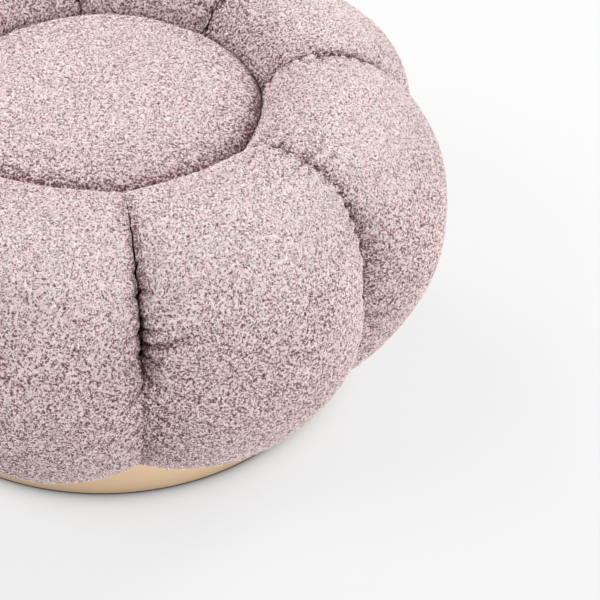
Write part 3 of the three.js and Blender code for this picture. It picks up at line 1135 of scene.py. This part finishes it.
def pad_crown_height(form, radius):
    """Height of the seat pad's crown at a radius."""
    return form.pad_rim_height + form.pad_crown * (1 - (radius / form.pad_radius) ** PAD_CROWN_POWER)


def pad_profile(form):
    """The seat pad's turned form outside its crown: its rolled rim and its side, as radii and heights."""
    start = form.pad_radius - form.pad_roll
    share = (start / form.pad_radius) ** (PAD_CROWN_POWER - 1)
    slope = math.atan(form.pad_crown * PAD_CROWN_POWER * share / form.pad_radius)
    middle_radius = start - form.pad_roll * math.sin(slope)
    middle_height = pad_crown_height(form, start) - form.pad_roll * math.cos(slope)
    bend = np.linspace(slope, math.pi / 2, ROLL_STEPS + 1)[1:]
    roll_radius = middle_radius + form.pad_roll * np.sin(bend)
    roll_height = middle_height + form.pad_roll * np.cos(bend)
    side_radius = middle_radius + form.pad_roll
    foot = form.plinth_height + form.gap
    rim = roll_height[-1] - np.arange(1, RIM_ROWS + 1) * CLOTH_STEP
    side = np.linspace(roll_height[-1] - (RIM_ROWS + 1) * CLOTH_STEP, foot, SIDE_ROWS)
    levels = np.concatenate([rim, side])
    reach = np.where(levels < form.spine_height, side_radius + form.inner_bulge, side_radius)
    return np.concatenate([roll_radius, reach]), np.concatenate([roll_height, levels])


def disc_grid(count):
    """An even grid of count by count steps on a disc of radius 1, as radii, angles and quads, and its
    boundary points in order."""
    line = np.linspace(-1, 1, count + 1)
    x, y = np.meshgrid(line, line, indexing="ij")
    radius = np.maximum(np.abs(x), np.abs(y))
    safe = np.where(radius == 0, 1, radius)
    wide = np.abs(x) >= np.abs(y)
    angle = np.where(wide, math.pi / 4 * y / safe, math.pi / 2 - math.pi / 4 * x / safe)
    angle = np.where(wide & (x < 0), math.pi - math.pi / 4 * y / safe, angle)
    angle = np.where(~wide & (y < 0), -math.pi / 2 + math.pi / 4 * x / safe, angle)
    index = np.arange((count + 1) ** 2).reshape(count + 1, count + 1)
    quads = np.stack([index[:-1, :-1], index[1:, :-1], index[1:, 1:], index[:-1, 1:]], -1).reshape(-1, 4)
    edge = np.concatenate([index[:-1, 0], index[-1, :-1], index[:0:-1, -1], index[0, :0:-1]])
    return radius.ravel(), angle.ravel(), quads, edge


class FOOTSTOOL_OT_pad(bpy.types.Operator):
    """Makes the round seat pad that fills the ring of petals"""

    bl_idname = "footstool.pad"
    bl_label = "Seat pad"

    def execute(self, context):
        form = context.scene.footstool_form
        cloth = context.scene.footstool_cloth
        crown_edge = form.pad_radius - form.pad_roll
        radius, angle, quads, edge = disc_grid(round(2 * crown_edge / CLOTH_STEP))
        radius = radius * crown_edge
        crown_points = len(radius)
        height = pad_crown_height(form, radius)
        side_radius, side_height = pad_profile(form)
        radius = np.concatenate([radius, np.repeat(side_radius, len(edge))])
        height = np.concatenate([height, np.repeat(side_height, len(edge))])
        angle = np.concatenate([angle, np.tile(angle[edge], len(side_radius))])
        wall = wall_radius(form, angle, height) - form.gap
        radius = np.minimum(radius, wall)
        room = (wall - radius).clip(0)
        on_crown = np.arange(len(room)) < crown_points
        room[on_crown & (wall > crown_edge)] = OPEN_ROOM
        points = np.stack([radius * np.sin(angle), -radius * np.cos(angle), height], -1)
        below = crown_points + np.arange(len(side_radius) * len(edge)).reshape(len(side_radius), -1)
        rings = np.vstack([edge, below])
        beside = np.roll(rings, -1, 1)
        side = np.stack([rings[:-1], rings[1:], beside[1:], beside[:-1]], -1).reshape(-1, 4)
        faces = quads.tolist() + side.tolist() + [rings[-1][::-1].tolist()]
        boucle = bpy.data.materials["boucle"]
        piece = mesh_object("boucle_seat_pad", points, faces, boucle)
        add_values(piece, "room", room)
        add_values(piece, "shown", on_crown)
        # Painted shade on the pad's rolled rim, and more where the petals stand close over it.
        rim = smooth_step(radius / form.pad_radius, *PAD_RIM_SHADE_SHARES)
        add_values(piece, "open", PAD_MIDDLE_SHADE + (1 - PAD_MIDDLE_SHADE) * rim)
        add_values(piece, "tucked", np.exp(-((room / PAD_TUCK_REACH) ** 2)))
        raise_pile(piece, bpy.data.node_groups["boucle_pile"], cloth, boucle)
        finish_cloth(piece, "seat_pad")
        return {"FINISHED"}


class FOOTSTOOL_OT_loops(bpy.types.Operator):
    """Scatters loose loops of yarn over the petals and the seat pad"""

    bl_idname = "footstool.loops"
    bl_label = "Loose loops"

    def execute(self, context):
        cloth = context.scene.footstool_cloth
        yarn = yarn_material(cloth)
        piece = mesh_object("loose_loops", [], [], yarn)
        apply_tree(piece, loops_tree(), {
            "Pieces": stuffed_pieces(),
            "Loops a square metre": cloth.loop_count,
            "Loop radius": cloth.loop_radius,
            "Yarn radius": cloth.yarn_radius,
            "Seed": cloth.seed,
            "Material": yarn,
        })
        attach(piece, BODY)
        return {"FINISHED"}


class FOOTSTOOL_OT_plinth(bpy.types.Operator):
    """Makes the gold drum that the stool stands on"""

    bl_idname = "footstool.plinth"
    bl_label = "Plinth"

    def execute(self, context):
        form = context.scene.footstool_form
        radius, height, edge = form.plinth_radius, form.plinth_height, form.plinth_edge
        bend = np.linspace(0, math.pi / 2, EDGE_STEPS)
        foot = np.stack([radius - edge + edge * np.sin(bend), edge - edge * np.cos(bend)], -1)
        rim = np.stack([radius - edge + edge * np.cos(bend), height - edge + edge * np.sin(bend)], -1)
        profile = np.vstack([[[FACE_SHARE * radius, 0]], foot, rim, [[FACE_SHARE * radius, height]]])
        turn = np.linspace(0, 2 * math.pi, PLINTH_SIDES, endpoint=False)
        ring = np.stack([np.cos(turn), np.sin(turn)], -1)
        level = np.broadcast_to(profile[:, None, 1:], (len(profile), PLINTH_SIDES, 1))
        points = np.concatenate([profile[:, None, :1] * ring, level], -1).reshape(-1, 3)
        here = np.arange((len(profile) - 1) * PLINTH_SIDES).reshape(-1, PLINTH_SIDES)
        beside = np.roll(here, -1, 1)
        quads = np.stack([here, beside, beside + PLINTH_SIDES, here + PLINTH_SIDES], -1)
        faces = quads.reshape(-1, 4).tolist()
        faces.append(list(range(PLINTH_SIDES))[::-1])
        faces.append([(len(profile) - 1) * PLINTH_SIDES + side for side in range(PLINTH_SIDES)])
        piece = mesh_object("gold_plinth", points, faces, gold_material(context.scene.footstool_metal))
        for polygon in list(piece.data.polygons)[-2:]:
            polygon.use_smooth = False
        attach(piece, BODY)
        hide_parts("plinth")
        return {"FINISHED"}


class FOOTSTOOL_OT_stage(bpy.types.Operator):
    """Sets up the floor, the lights and the camera"""

    bl_idname = "footstool.stage"
    bl_label = "Stage"

    def execute(self, context):
        scene = context.scene
        studio = scene.footstool_studio
        scene.view_settings.view_transform = "Standard"
        corners = np.array([[-1, -1, 0], [1, -1, 0], [1, 1, 0], [-1, 1, 0]]) * FLOOR_HALF_SIZE
        paper = floor_material(studio, scene.footstool_form.plinth_radius)
        mesh_object("floor", corners, [(0, 1, 2, 3)], paper)
        world = bpy.data.worlds.new("studio")
        world.use_nodes = True
        background = world.node_tree.nodes["Background"]
        background.inputs["Color"].default_value = WHITE
        background.inputs["Strength"].default_value = studio.room_strength
        scene.world = world
        for name, (place, power) in LIGHTS.items():
            softbox = bpy.data.lights.new(name, "AREA")
            softbox.energy = getattr(studio, power)
            softbox.size = LIGHT_SIDE
            light = bpy.data.objects.new(name, softbox)
            light.location = place
            light.rotation_euler = (Vector(place) - Vector(LIGHT_AIM)).to_track_quat("Z", "Y").to_euler()
            scene.collection.objects.link(light)
        camera = bpy.data.objects.new("camera", bpy.data.cameras.new("camera"))
        scene.collection.objects.link(camera)
        camera.data.lens = studio.camera_lens
        camera.data.sensor_width = SENSOR_WIDTH
        camera.location = (
            studio.camera_distance * math.sin(studio.camera_azimuth),
            -studio.camera_distance * math.cos(studio.camera_azimuth),
            studio.camera_height,
        )
        turn = Euler((math.pi / 2 - studio.camera_pitch, 0, studio.camera_heading)).to_quaternion()
        camera.rotation_mode = "QUATERNION"
        camera.rotation_quaternion = turn @ Quaternion((0, 0, 1), studio.camera_roll)
        scene.camera = camera
        return {"FINISHED"}


class FOOTSTOOL_PT_panel(bpy.types.Panel):
    """Lists the footstool's pieces and their sizes"""

    bl_idname = "FOOTSTOOL_PT_panel"
    bl_label = "Footstool"
    bl_space_type = "VIEW_3D"
    bl_region_type = "UI"
    bl_category = "Footstool"

    def draw(self, context):
        for operator in OPERATORS:
            self.layout.operator(operator.bl_idname)
        for group in SETTINGS:
            box = self.layout.box()
            for name in SETTINGS[group].__annotations__:
                box.prop(getattr(context.scene, group), name)


SETTINGS = {
    "footstool_form": FootstoolForm,
    "footstool_cloth": FootstoolCloth,
    "footstool_metal": FootstoolMetal,
    "footstool_studio": FootstoolStudio,
}
OPERATORS = (
    FOOTSTOOL_OT_petals,
    FOOTSTOOL_OT_pad,
    FOOTSTOOL_OT_loops,
    FOOTSTOOL_OT_plinth,
    FOOTSTOOL_OT_stage,
)


def register():
    """Adds the stool's settings, operators and panel to Blender."""
    for cls in (*SETTINGS.values(), *OPERATORS, FOOTSTOOL_PT_panel):
        bpy.utils.register_class(cls)
    for name, cls in SETTINGS.items():
        setattr(bpy.types.Scene, name, PointerProperty(type=cls))


def unregister():
    """Takes them out again."""
    for name in SETTINGS:
        delattr(bpy.types.Scene, name)
    for cls in reversed((*SETTINGS.values(), *OPERATORS, FOOTSTOOL_PT_panel)):
        bpy.utils.unregister_class(cls)


def main():
    """Builds the stool and its stage."""
    register()
    bpy.ops.footstool.petals()
    bpy.ops.footstool.pad()
    bpy.ops.footstool.loops()
    bpy.ops.footstool.plinth()
    bpy.ops.footstool.stage()


if __name__ == "__main__":
    main()
